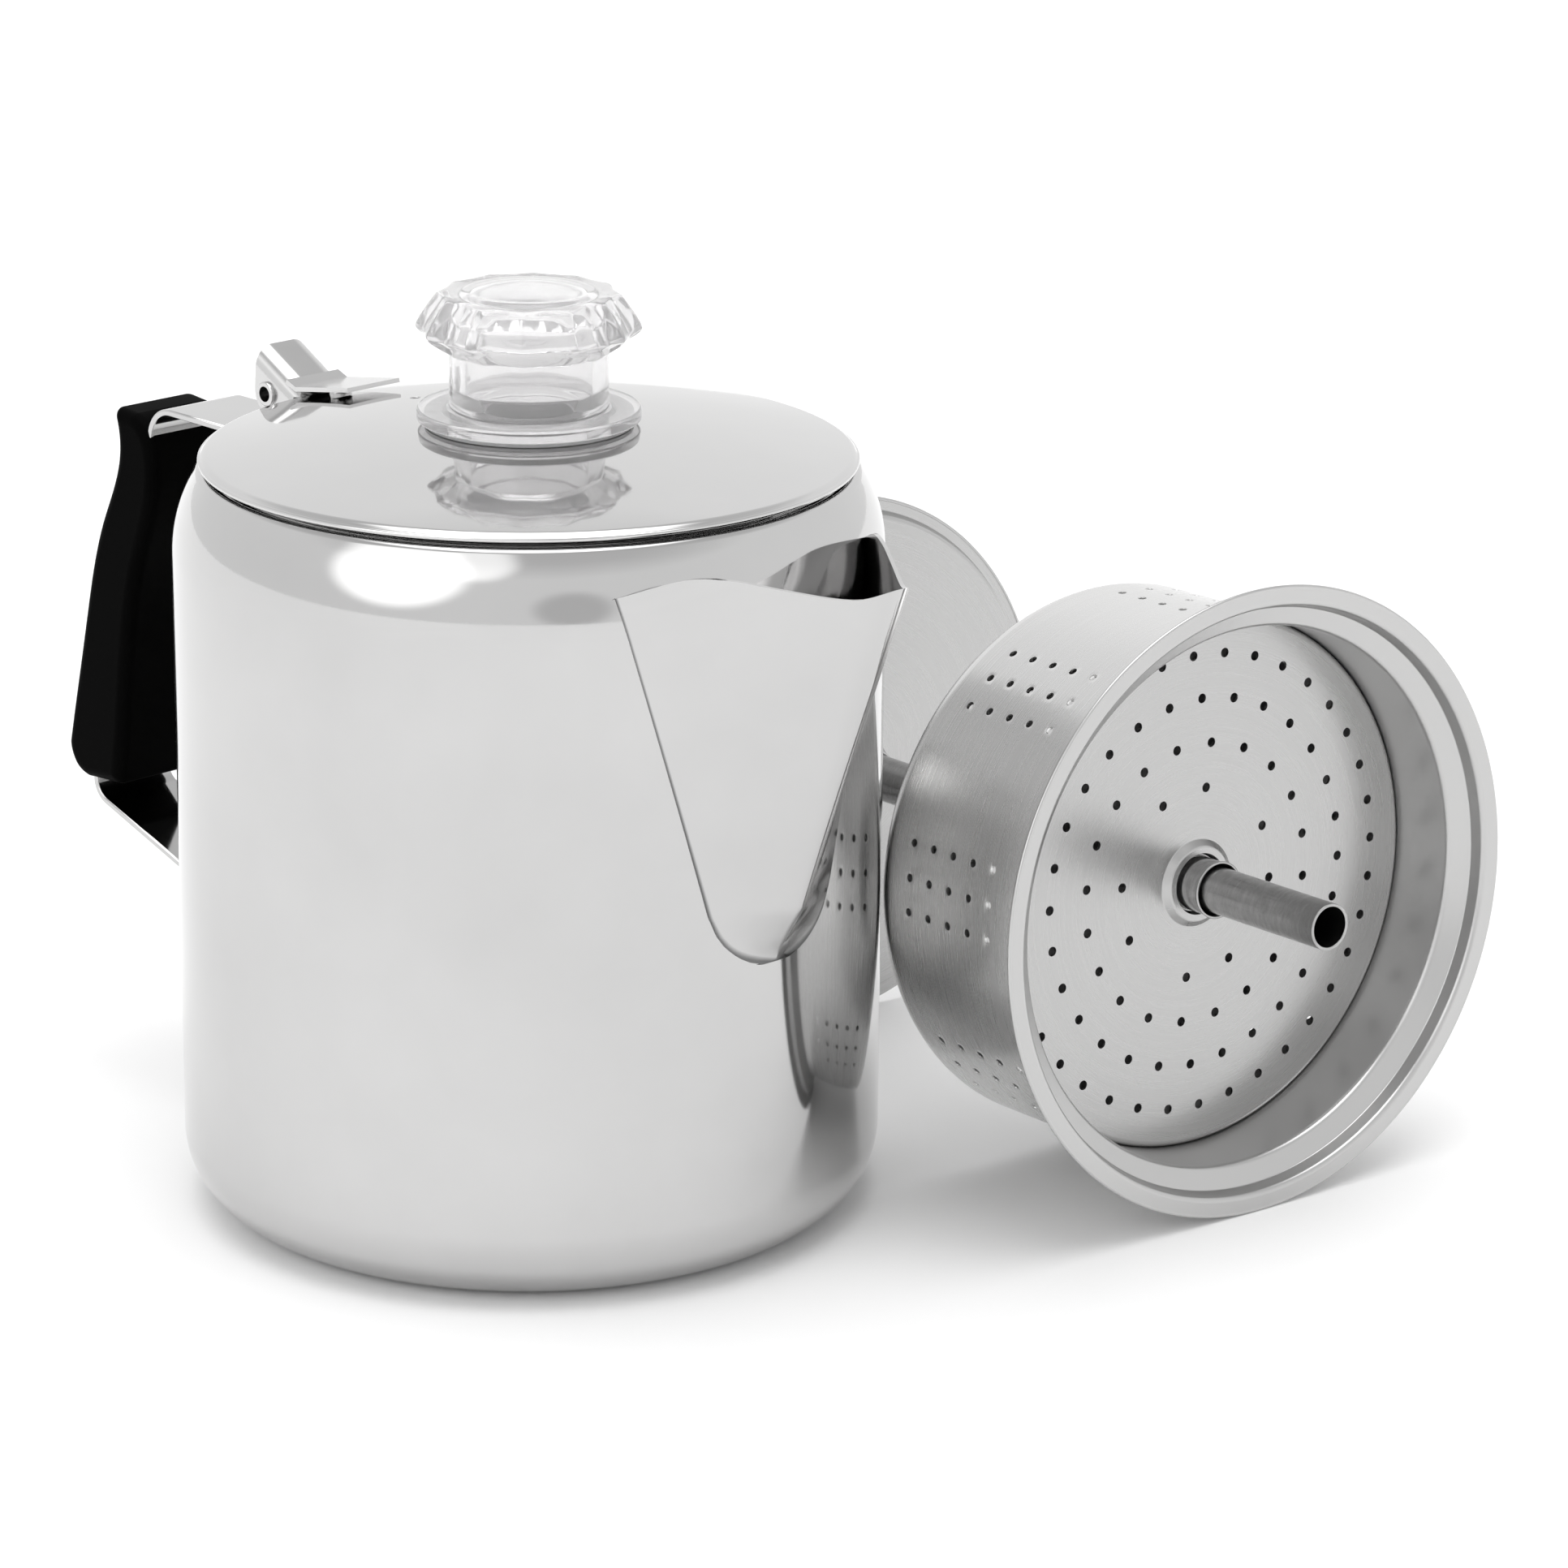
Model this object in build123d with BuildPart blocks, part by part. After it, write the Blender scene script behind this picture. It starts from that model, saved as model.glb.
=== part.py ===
from build123d import *
import os
from math import acos, asin, atan2, cos, degrees, hypot, radians, sin

# Camping coffee percolator, in millimetres. The pot stands on its base with its axis on Z, the
# spout towards +X and the handle towards -X. Its lid is closed. The pump stem, with the basket and
# the spreader on it, lies on the same surface beside the pot.

os.makedirs("parts", exist_ok=True)

# ---- driving dimensions -------------------------------------------------------------------------

POT_R = 70.0                # outer radius of the pot
POT_GAUGE = 0.8             # sheet thickness of the pot
BASE_CORNER_R = 15.4        # rounding between base and wall
SHOULDER_Z = 134.0          # height at which the wall starts to turn in
SHOULDER_R = 30.0           # rounding of the shoulder
SHOULDER_POLE = (64.35, 150.7)   # corner between shoulder and mouth ring, on the sheet's middle
RIM_Z = 151.1               # top of the mouth ring
MOUTH_R = 61.4              # clear radius of the mouth
HEM_R = 0.7                 # rolled edge of the mouth

STRAINER_HOLE_R = 1.6
STRAINER_PITCH = (6.0, 7.0)
STRAINER_GRID = (4, 5)
STRAINER_Z = 112.0

SPOUT_GAUGE = 0.8
SPOUT_LEVELS = (             # height, half angle of the seam, reach of the nose, nose radius
    (65.8, 2.6, 70.35, 2.4),
    (68.8, 7.7, 71.4, 3.0),
    (73.4, 11.4, 74.2, 2.6),
    (77.7, 13.0, 77.1, 2.4),
    (134.0, 26.6, 97.37, 6.76),
    (150.0, 26.8, 103.13, 8.0),
)
SPOUT_RIM = ((58.0, 140.9), (61.6, 142.4), (71.4, 146.3), (78.5, 146.6), (86.0, 145.4),
             (95.0, 144.2), (99.0, 144.8), (104.0, 147.3))

STRAP_W = 19.6
STRAP_GAUGE = 1.4
STRAP_ROUTE = ((-66.0, 144.0), (-106.3, 144.0), (-130.5, 55.4), (-66.0, 34.2))
STRAP_BENDS = (7.0, 5.0)
SADDLE_GAUGE = 1.3
TOP_SADDLE_Z = (131.0, 144.7)
LOW_SADDLE_Z = (22.0, 38.0)

GRIP_W = 22.0
GRIP_EDGE_R = 2.6

PIN = (-72.2, 152.9)        # lid hinge axis, x and z
PIN_R = 2.0
PIN_BORE_R = 1.6
PIN_HEAD_R = 2.5
HOOD_W = 13.6
HOOD_GAUGE = 0.8
KNUCKLE_R = 3.1
RUNNING_GAP = 0.05

LID_R = 64.7
LID_GAUGE = 0.8
LID_EDGE_Z = 151.95
DOME_R = 350.0              # spherical radius of the lid's dome
DOME_TOP_Z = 159.5
LID_HOLE_R = 13.3
LUG_R = 15.4
LUG_TURN = 60.0             # twist from the locked knob to its notches
VENT_R = 1.1
VENT_X = -34.0
SKIRT_R = 59.8
SKIRT_LOW_Z = 148.6

KNOB_SEAT_Z = 160.0
KNOB_FLANGE_R = 21.95
KNOB_NECK_R = 15.6
KNOB_CROWN_R = 21.25
KNOB_FACETS = 12
KNOB_BORE_R = 12.6

# The insert, measured along its stem from the spreader's plane towards the stem's free end.
STEM_R = 4.75
STEM_BORE_R = 4.1
STEM_TOP = 40.0
BASE_PLATE_AT = -123.0
BASE_PLATE_R = 57.9
BASE_PLATE_GAUGE = 0.7
BASKET_R = 56.0
BASKET_GAUGE = 0.8
BASKET_FLOOR_AT = -33.6
FLANGE_AT = 19.5
FLANGE_R = 64.0
EDGE_BEAD_R = 0.45
GUIDE_BORE_R = 5.1
GUIDE_GAUGE = 0.5
SPREADER_GAUGE = 0.6
PLATE_HOLE_R = 1.0
WALL_HOLE_R = 0.85

INSERT_FOOT = (88.85, 99.82)    # where the spreader's centre stands over the table
INSERT_HEADING = -7.4            # direction of the stem's free end, from +X

# ---- frames and shared outlines -----------------------------------------------------------------

SIDE = Plane.XZ              # local x is the pot's X, local y is its Z

tilt = degrees(atan2(FLANGE_R - BASE_PLATE_R, FLANGE_AT - BASE_PLATE_AT))
insert_z = EDGE_BEAD_R + FLANGE_R * cos(radians(tilt)) - FLANGE_AT * sin(radians(tilt))
heading = radians(INSERT_HEADING)
stem_dir = Vector(cos(radians(tilt)) * cos(heading), cos(radians(tilt)) * sin(heading), sin(radians(tilt)))
INSERT = Plane(origin=(*INSERT_FOOT, insert_z), x_dir=(-sin(heading), cos(heading), 0), z_dir=stem_dir)
SECTION = Plane(origin=INSERT.origin, x_dir=INSERT.x_dir, z_dir=-INSERT.y_dir)
STEM_AXIS = Axis(INSERT.origin, INSERT.z_dir)


def save(piece, name):
    """Label a finished piece and write its STEP file."""
    piece.part.label = name
    export_step(piece.part, f"parts/{name}.step")


def pot_solid(gap):
    """The pot's outer wall and shoulder as a filled solid, grown by a gap."""
    pole = Vector(POT_R - SHOULDER_R, SHOULDER_Z)
    with BuildPart() as filled:
        with BuildSketch(SIDE):
            with BuildLine():
                side = Line((POT_R + gap, 0), (POT_R + gap, SHOULDER_Z))
                turn = CenterArc((pole.X, pole.Y), SHOULDER_R + gap, 0, 33)
                Polyline(turn @ 1, (0, (turn @ 1).Y), (0, 0), side @ 0)
            make_face()
        revolve(axis=Axis.Z)
    return filled.part


def dome_section(drop, radius, low):
    """Half section of the space under the lid's dome, lowered by a drop and cut off at a height."""
    with BuildSketch() as half:
        with BuildLine():
            sweep_angle = degrees(asin(radius / (DOME_R - drop)))
            crown = CenterArc((0, DOME_TOP_Z - DOME_R), DOME_R - drop, 90, -sweep_angle)
            Polyline(crown @ 1, (radius, low), (0, low), crown @ 0)
        make_face()
    return half.sketch


def dome_solid(drop, radius):
    """The space under the lid's dome as a solid."""
    with BuildPart() as under:
        with BuildSketch(SIDE):
            add(dome_section(drop, radius, 90))
        revolve(axis=Axis.Z)
    return under.part


# ---- pot body -----------------------------------------------------------------------------------

middle_r = POT_R - POT_GAUGE / 2
with BuildPart() as pot_body:
    with BuildSketch(SIDE):
        with BuildLine():
            FilletPolyline(
                (0, POT_GAUGE / 2),
                (middle_r, POT_GAUGE / 2),
                (middle_r, 142.5),
                SHOULDER_POLE,
                (MOUTH_R + HEM_R, SHOULDER_POLE[1]),
                radius=[BASE_CORNER_R - POT_GAUGE / 2, SHOULDER_R - POT_GAUGE / 2, 1.8],
            )
        trace(line_width=POT_GAUGE)
        with Locations((MOUTH_R + HEM_R, RIM_Z - HEM_R)):
            Circle(HEM_R)
    revolve(axis=Axis.Z)
    with BuildSketch(Plane.YZ.offset(POT_R - 8)):
        with Locations((0, STRAINER_Z)):
            with GridLocations(*STRAINER_PITCH, *STRAINER_GRID):
                Circle(STRAINER_HOLE_R)
    extrude(amount=12, mode=Mode.SUBTRACT)
save(pot_body, "pot_body")


# ---- spout --------------------------------------------------------------------------------------

def spout_outline(z, half_angle, reach, nose_r, inset):
    """Points of one level section of the spout: two flanks that touch a round nose."""
    seam = Vector(POT_R * cos(radians(half_angle)), POT_R * sin(radians(half_angle)))
    nose = Vector(reach - nose_r, 0)
    away = seam - nose
    lean = atan2(away.Y, away.X) - acos(nose_r / hypot(away.X, away.Y))
    normal = Vector(cos(lean), sin(lean))
    touch = nose + normal * (nose_r - inset)
    run = Vector(-normal.Y, normal.X)
    root = seam - normal * inset + run * 4
    tip = Vector(nose.X + nose_r - inset, 0)
    return root, touch, tip


def spout_loft(levels, inset):
    """Loft the spout's sections into a solid that reaches into the pot's wall."""
    with BuildPart() as body:
        for z, half_angle, reach, nose_r in levels:
            root, touch, tip = spout_outline(z, half_angle, reach, nose_r, inset)
            with BuildSketch(Plane.XY.offset(z)):
                with BuildLine():
                    Line((root.X, -root.Y), (touch.X, -touch.Y))
                    ThreePointArc((touch.X, -touch.Y), (tip.X, 0), (touch.X, touch.Y))
                    Line((touch.X, touch.Y), (root.X, root.Y))
                    Line((root.X, root.Y), (root.X, -root.Y))
                make_face()
        loft(ruled=True)
    return body.part


spout_shape = spout_loft(SPOUT_LEVELS, 0)
spout_hollow = spout_loft(SPOUT_LEVELS[2:], SPOUT_GAUGE)
wall_solid = pot_solid(0)
with BuildPart() as spout:
    add(spout_shape)
    add(spout_hollow, mode=Mode.SUBTRACT)
    add(wall_solid, mode=Mode.SUBTRACT)
    with BuildSketch(SIDE):
        with BuildLine():
            rim = Spline(*SPOUT_RIM)
            Polyline(rim @ 1, (110, 160), (50, 160), rim @ 0)
        make_face()
    extrude(amount=50, both=True, mode=Mode.SUBTRACT)
save(spout, "spout")


# ---- handle -------------------------------------------------------------------------------------

with BuildPart() as saddles:
    add(pot_solid(SADDLE_GAUGE))
    add(wall_solid, mode=Mode.SUBTRACT)
    with BuildSketch(SIDE):
        for low, high in (TOP_SADDLE_Z, LOW_SADDLE_Z):
            with Locations((-POT_R, (low + high) / 2)):
                Rectangle(30, high - low)
    extrude(amount=STRAP_W / 2, both=True, mode=Mode.INTERSECT)

with BuildPart() as handle_strap:
    with BuildSketch(SIDE):
        with BuildLine():
            FilletPolyline(*STRAP_ROUTE, radius=list(STRAP_BENDS))
        trace(line_width=STRAP_GAUGE)
    extrude(amount=STRAP_W / 2, both=True)
    add(wall_solid, mode=Mode.SUBTRACT)
    add(saddles.part)
save(handle_strap, "handle_strap")

with BuildPart() as handle_grip:
    with BuildSketch(SIDE) as grip_side:
        with BuildLine():
            outer = Spline((-119.6, 142.4), (-117.9, 132.5), (-124.0, 117.0), (-130.9, 94.0), (-137.6, 66.0))
            foot = Spline(outer @ 1, (-136.6, 61.5), (-131.5, 58.2), tangents=[outer % 1, (1, -0.15)])
            sole = Line(foot @ 1, (-120.2, 59.0))
            inner = Spline(sole @ 1, (-118.2, 71.5), (-111.8, 108.5), (-105.7, 132.5), (-107.6, 138.6),
                           (-112.6, 141.8))
            Line(inner @ 1, outer @ 0)
        make_face()
        corners = grip_side.vertices().sort_by(Axis.Y)
        fillet([corners[1], corners[3]], 1.2)
    extrude(amount=GRIP_W / 2, both=True)
    sides = handle_grip.faces().filter_by(Axis.Y)
    fillet(sides.edges(), GRIP_EDGE_R)
    add(handle_strap.part, mode=Mode.SUBTRACT)
save(handle_grip, "handle_grip")


# ---- hinge --------------------------------------------------------------------------------------

knuckle_half = HOOD_W / 2 - HOOD_GAUGE - 0.35
strap_top = STRAP_ROUTE[0][1] + STRAP_GAUGE / 2
with BuildPart() as hinge_leaf:
    with BuildSketch(SIDE):
        with Locations(PIN):
            Circle(KNUCKLE_R)
        with Locations((PIN[0] - 0.6, (PIN[1] + strap_top) / 2 - 1)):
            Rectangle(1.4, PIN[1] - strap_top - 2)
        with Locations((PIN[0] - 4.5, strap_top + 0.6)):
            Rectangle(9.2, 1.2)
        with Locations(PIN):
            Circle(PIN_R + 0.02, mode=Mode.SUBTRACT)
    extrude(amount=knuckle_half, both=True)
save(hinge_leaf, "hinge_leaf")

head_start = HOOD_W / 2 + RUNNING_GAP
with BuildPart() as hinge_pin:
    with BuildSketch(SIDE):
        with Locations(PIN):
            Circle(PIN_R)
    extrude(amount=head_start + 0.4, both=True)
    for side in (-1, 1):
        with BuildSketch(SIDE.offset(side * head_start)):
            with Locations(PIN):
                Circle(PIN_HEAD_R)
        extrude(amount=side * 0.8)
    fillet(hinge_pin.faces().group_by(Axis.Y)[0].edges(), 0.35)
    fillet(hinge_pin.faces().group_by(Axis.Y)[-1].edges(), 0.35)
    with BuildSketch(SIDE):
        with Locations(PIN):
            Circle(PIN_BORE_R)
    extrude(amount=HOOD_W, both=True, mode=Mode.SUBTRACT)
save(hinge_pin, "hinge_pin")

tongue_end = (-46.8, 158.1)
hood_back = (-75.2, 161.9)
hood_foot = (-63.3, 155.4)
fall = Vector(hood_foot[0] - hood_back[0], 0, hood_foot[1] - hood_back[1])
FOLD = Plane(origin=(hood_back[0], 0, hood_back[1]), x_dir=(0, 1, 0), z_dir=fall)


with BuildPart() as hood_hollow:
    with BuildSketch(FOLD) as inner_fold:
        with Locations((0, -HOOD_GAUGE - 15)):
            Rectangle(HOOD_W - 2 * HOOD_GAUGE, 30)
        fillet(inner_fold.vertices().sort_by(Axis.Y)[-2:], 3.2)
    extrude(amount=40, both=True)

with BuildPart() as hinge_hood:
    with BuildSketch(SIDE):
        with BuildLine():
            Polyline((-76.2, 153.6), (-75.2, 168), (-63.3, 168), (-60.4, 156), (-60.4, 153.0),
                     (-66.0, 151.4), (-69.5, 149.9), (-75.2, 150.3), close=True)
        make_face()
        with Locations(PIN):
            Circle(4.0)
    extrude(amount=HOOD_W / 2, both=True)
    with BuildSketch(FOLD) as outer_fold:
        with Locations((0, -15)):
            Rectangle(HOOD_W, 30)
        fillet(outer_fold.vertices().sort_by(Axis.Y)[-2:], 4.0)
    extrude(amount=40, both=True, mode=Mode.INTERSECT)
    add(hood_hollow.part, mode=Mode.SUBTRACT)
    with BuildSketch(SIDE):
        with BuildLine():
            Polyline((-66.2, 156.5), hood_foot, tongue_end)
        trace(line_width=0.9)
    extrude(amount=HOOD_W / 2, both=True)
    with BuildSketch(Plane.XY.offset(150)):
        with Locations((-57.5, 0)):
            Circle(2.4)
    extrude(amount=5.9)
    with BuildSketch(SIDE):
        with Locations(PIN):
            Circle(PIN_R + RUNNING_GAP)
    extrude(amount=HOOD_W, both=True, mode=Mode.SUBTRACT)
    add(dome_solid(0, LID_R), mode=Mode.SUBTRACT)
save(hinge_hood, "hinge_hood")


# ---- lid ----------------------------------------------------------------------------------------

with BuildPart() as lid_shell:
    with BuildSketch(SIDE) as lid_side:
        add(dome_section(0, LID_R, LID_EDGE_Z))
        add(dome_section(LID_GAUGE, LID_R - 1.1, LID_EDGE_Z - 1), mode=Mode.SUBTRACT)
        brim = lid_side.vertices().group_by(Axis.X)[-1].sort_by(Axis.Y)
        fillet(brim[-1], 1.0)
    revolve(axis=Axis.Z)
    with BuildSketch(Plane.XY.offset(DOME_TOP_Z + 1)):
        Circle(LID_HOLE_R)
        with PolarLocations(0, 2, start_angle=LUG_TURN):
            with Locations((LUG_R - 1.5, 0)):
                Rectangle(6.6, 10.4)
        with Locations((VENT_X, 0)):
            Circle(VENT_R)
    extrude(amount=-5, mode=Mode.SUBTRACT)
save(lid_shell, "lid_shell")

with BuildPart() as lid_skirt:
    with BuildSketch(Plane.XY.offset(SKIRT_LOW_Z)):
        Circle(SKIRT_R)
        Circle(SKIRT_R - LID_GAUGE, mode=Mode.SUBTRACT)
    extrude(amount=8)
    add(dome_solid(LID_GAUGE, LID_R), mode=Mode.INTERSECT)
save(lid_skirt, "lid_skirt")

with BuildPart() as knob_seal:
    with BuildSketch(Plane.XY.offset(DOME_TOP_Z - 2)):
        Circle(KNOB_FLANGE_R - 1.4)
        Circle(LUG_R + 1.4, mode=Mode.SUBTRACT)
    extrude(amount=KNOB_SEAT_Z - 0.05 - (DOME_TOP_Z - 2))
    add(dome_solid(0, LID_R - 1), mode=Mode.SUBTRACT)
save(knob_seal, "knob_seal")


# ---- knob ---------------------------------------------------------------------------------------

lug_top = 157.9
lug_low = 156.2
crown_levels = ((173.6, 15.9), (177.9, KNOB_CROWN_R), (184.9, 17.35))
flat_to_corner = 1 / cos(radians(180 / KNOB_FACETS))
with BuildPart() as knob:
    for level, half_flats in crown_levels:
        with BuildSketch(Plane.XY.offset(level)):
            RegularPolygon(half_flats * flat_to_corner, KNOB_FACETS)
    loft(ruled=True)
    fillet(knob.edges(), 0.7)
    with BuildSketch(SIDE):
        with BuildLine():
            Polyline(
                (0, 186.2), (9.0, 185.9), (13.3, 185.3), (13.6, 184.3), (13.6, 176), (KNOB_NECK_R, 176),
                (KNOB_NECK_R, KNOB_SEAT_Z + 3.0), (KNOB_NECK_R + 0.6, KNOB_SEAT_Z + 2.4),
                (KNOB_FLANGE_R - 0.3, KNOB_SEAT_Z + 2.4), (KNOB_FLANGE_R, KNOB_SEAT_Z + 2.1),
                (KNOB_FLANGE_R, KNOB_SEAT_Z + 0.3), (KNOB_FLANGE_R - 0.3, KNOB_SEAT_Z),
                (LID_HOLE_R - 0.3, KNOB_SEAT_Z), (LID_HOLE_R - 0.3, lug_low), (0, lug_low), close=True)
        make_face()
    revolve(axis=Axis.Z)
    with BuildSketch(Plane.XY.offset(lug_low)):
        with PolarLocations(0, 2):
            with Locations((LUG_R - 3, 0)):
                Rectangle(5.4, 8.0)
    extrude(amount=lug_top - lug_low)
    with BuildSketch(SIDE):
        with BuildLine():
            Polyline((0, 150), (KNOB_BORE_R - 1.2, 150), (KNOB_BORE_R - 1.2, 163), (KNOB_BORE_R, 166),
                     (KNOB_BORE_R, 178), (10.5, 181.4), (0, 182.2), close=True)
        make_face()
    revolve(axis=Axis.Z, mode=Mode.SUBTRACT)
save(knob, "knob")


# ---- insert -------------------------------------------------------------------------------------

def spun_sheet(points, bends, gauge, beads=()):
    """Sheet of constant thickness turned about the stem, with round beads on it."""
    with BuildPart() as sheet:
        with BuildSketch(SECTION):
            with BuildLine():
                FilletPolyline(*points, radius=list(bends))
            trace(line_width=gauge)
            for radius, along_stem, bead_r in beads:
                with Locations((radius, along_stem)):
                    Circle(bead_r)
        revolve(axis=STEM_AXIS)
    return sheet.part


def ring_pattern():
    """Centres of the holes that the spreader and the basket's floor share, as (radius, angle)."""
    spots = [(19.6, 9.5 + 90 * pair + side * 17) for pair in range(4) for side in (-1, 1)]
    for radius, count, start in ((28.85, 20, 10.2), (38.1, 28, 10.7), (47.1, 36, 1.0)):
        spots += [(radius, start + 360 * i / count) for i in range(count)]
    return [(radius * cos(radians(a)), radius * sin(radians(a))) for radius, a in spots]


def radial_plane(angle, along_stem):
    """Plane that faces the basket's wall from inside, x along the stem."""
    out = INSERT.x_dir * cos(radians(angle)) + INSERT.y_dir * sin(radians(angle))
    origin = INSERT.origin + out * (BASKET_R - 3) + INSERT.z_dir * along_stem
    return Plane(origin=origin, x_dir=INSERT.z_dir, z_dir=out)


wall_middle = BASKET_R - BASKET_GAUGE / 2
basket_sheet = spun_sheet(
    ((GUIDE_BORE_R + GUIDE_GAUGE + 0.2, BASKET_FLOOR_AT), (wall_middle, BASKET_FLOOR_AT), (wall_middle, 14.2),
     (59.9, 16.5), (60.7, FLANGE_AT), (FLANGE_R, FLANGE_AT)),
    (5.0, 1.2, 0.8, 0.8), BASKET_GAUGE, beads=[(FLANGE_R, FLANGE_AT, EDGE_BEAD_R)])
WALL_GROUP_START = 38.3
WALL_ROW_STEP = 7.25
WALL_HOLE_PITCH = 6.2
WALL_HOLE_LOW = -22.3
WALL_HOLE_COUNTS = (4, 5, 5, 5, 5, 4, 4, 4)    # holes in each row of the groups round the wall
with BuildPart() as basket_cup:
    add(basket_sheet)
    with BuildSketch(INSERT.offset(BASKET_FLOOR_AT - 2)):
        with Locations(*ring_pattern()):
            Circle(PLATE_HOLE_R)
    extrude(amount=4, mode=Mode.SUBTRACT)
    for group, count in enumerate(WALL_HOLE_COUNTS):
        row_middle = WALL_HOLE_LOW + WALL_HOLE_PITCH * (count - 1) / 2
        for row in (-1, 0, 1):
            angle = WALL_GROUP_START + 45 * group + WALL_ROW_STEP * row
            with BuildSketch(radial_plane(angle, row_middle)):
                with GridLocations(WALL_HOLE_PITCH, 1, count, 1):
                    Circle(WALL_HOLE_R)
    extrude(amount=5, mode=Mode.SUBTRACT)
save(basket_cup, "basket_cup")

guide_middle = GUIDE_BORE_R + GUIDE_GAUGE / 2
guide_foot_at = BASKET_FLOOR_AT - BASKET_GAUGE / 2 - GUIDE_GAUGE / 2
with BuildPart() as basket_guide:
    add(spun_sheet(
        ((9.0, guide_foot_at), (guide_middle, guide_foot_at), (guide_middle, 6.8)), (0.4,), GUIDE_GAUGE,
        beads=[(guide_middle + 0.2, 6.8, 0.42), (guide_middle + 0.45, -0.7, 0.55)]))
save(basket_guide, "basket_guide")

spreader_sheet = spun_sheet(
    ((6.35, 1.0), (7.6, 1.0), (8.9, -SPREADER_GAUGE / 2), (54.4, -SPREADER_GAUGE / 2), (54.4, -3.6)),
    (0.5, 0.5, 0.9), SPREADER_GAUGE)
with BuildPart() as spreader_plate:
    add(spreader_sheet)
    with BuildSketch(INSERT.offset(-2)):
        with Locations(*ring_pattern()):
            Circle(PLATE_HOLE_R)
    extrude(amount=4, mode=Mode.SUBTRACT)
save(spreader_plate, "spreader_plate")

with BuildPart() as stem_tube:
    with BuildSketch(INSERT.offset(BASE_PLATE_AT + 1)):
        Circle(STEM_R)
        Circle(STEM_BORE_R, mode=Mode.SUBTRACT)
    extrude(amount=STEM_TOP - BASE_PLATE_AT - 1)
save(stem_tube, "stem_tube")

hub_middle = STEM_R + 0.03 + BASE_PLATE_GAUGE / 2
with BuildPart() as stem_base:
    add(spun_sheet(
        ((hub_middle, -112.6), (hub_middle, -116.4), (54.3, -120.6), (55.4, BASE_PLATE_AT),
         (BASE_PLATE_R, BASE_PLATE_AT)),
        (1.6, 0.8, 0.6), BASE_PLATE_GAUGE, beads=[(BASE_PLATE_R, BASE_PLATE_AT, EDGE_BEAD_R)]))
save(stem_base, "stem_base")

with BuildPart() as stem_collar:
    with BuildSketch(SECTION):
        with BuildLine():
            Polyline((STEM_R + 0.02, -112.5), (6.3, -112.5), (6.9, -111.6), (6.9, -109.6), (6.2, -108.6),
                     (5.6, -106.4), (STEM_R + 0.02, -106.2), close=True)
        make_face()
    revolve(axis=STEM_AXIS)
save(stem_collar, "stem_collar")
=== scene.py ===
"""Looks of the camping coffee percolator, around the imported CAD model.

Fine meshes, materials, studio and camera.
"""

import math

import bmesh
import bpy
from mathutils import Matrix, Vector


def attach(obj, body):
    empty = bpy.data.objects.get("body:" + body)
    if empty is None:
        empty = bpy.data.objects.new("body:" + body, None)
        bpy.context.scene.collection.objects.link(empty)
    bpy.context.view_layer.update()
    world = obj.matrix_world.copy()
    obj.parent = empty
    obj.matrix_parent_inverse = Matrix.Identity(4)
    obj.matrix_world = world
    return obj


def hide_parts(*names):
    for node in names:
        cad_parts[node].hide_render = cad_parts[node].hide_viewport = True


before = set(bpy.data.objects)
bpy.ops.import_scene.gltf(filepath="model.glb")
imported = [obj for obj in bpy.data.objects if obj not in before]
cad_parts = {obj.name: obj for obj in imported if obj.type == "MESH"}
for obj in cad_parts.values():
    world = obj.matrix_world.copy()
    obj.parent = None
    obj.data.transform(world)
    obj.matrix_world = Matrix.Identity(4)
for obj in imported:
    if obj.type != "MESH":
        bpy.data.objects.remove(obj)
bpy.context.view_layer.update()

MM = 0.001
TURN = 2 * math.pi

# ---- sizes, in millimetres, as in the CAD model -------------------------------------------------

POT_R = 70.0
POT_GAUGE = 0.8
SHOULDER_Z = 134.0
SHOULDER_R = 30.0
RIM_Z = 151.1
MOUTH_R = 61.4
HEM_R = 0.7
STRAINER_Z = 112.0
STRAINER_HOLE_R = 1.6
STRAINER_CELL = (6.0, 7.0)
STRAINER_GRID = (4, 5)

SPOUT_GAUGE = 0.8
SPOUT_LEVELS = (  # height, half angle of the seam, reach of the nose line, nose radius
    (65.8, 2.6, 70.35, 2.4),
    (66.5, 4.6, 70.5, 2.6),
    (67.5, 6.4, 70.8, 2.8),
    (68.8, 8.0, 71.4, 3.0),
    (70.8, 9.9, 72.6, 2.9),
    (73.4, 11.5, 74.2, 2.6),
    (77.7, 13.1, 77.1, 2.4),
    (150.0, 30.4, 103.13, 8.0),
)
SPOUT_RIM = ((58.0, 140.9), (61.6, 142.4), (71.4, 146.3), (78.5, 146.6), (86.0, 145.4),
             (95.0, 144.2), (99.0, 144.8), (104.0, 147.3))
SPOUT_LAP = 0.34            # how far the welded edge stands proud of the pot

LID_R = 64.7
LID_GAUGE = 0.8
LID_EDGE_Z = 151.95
DOME_R = 350.0
DOME_TOP_Z = 159.5
LID_HOLE_R = 13.3
VENT_R = 1.1
VENT_X = 34.0
SKIRT_R = 59.8
SKIRT_LOW_Z = 148.6

STRAP_W = 19.6
STRAP_GAUGE = 1.4
STRAP_ROUTE = ((-67.0, 144.0), (-106.3, 144.0), (-130.5, 55.4), (-67.6, 34.64))
STRAP_BENDS = (7.0, 5.0)

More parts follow.
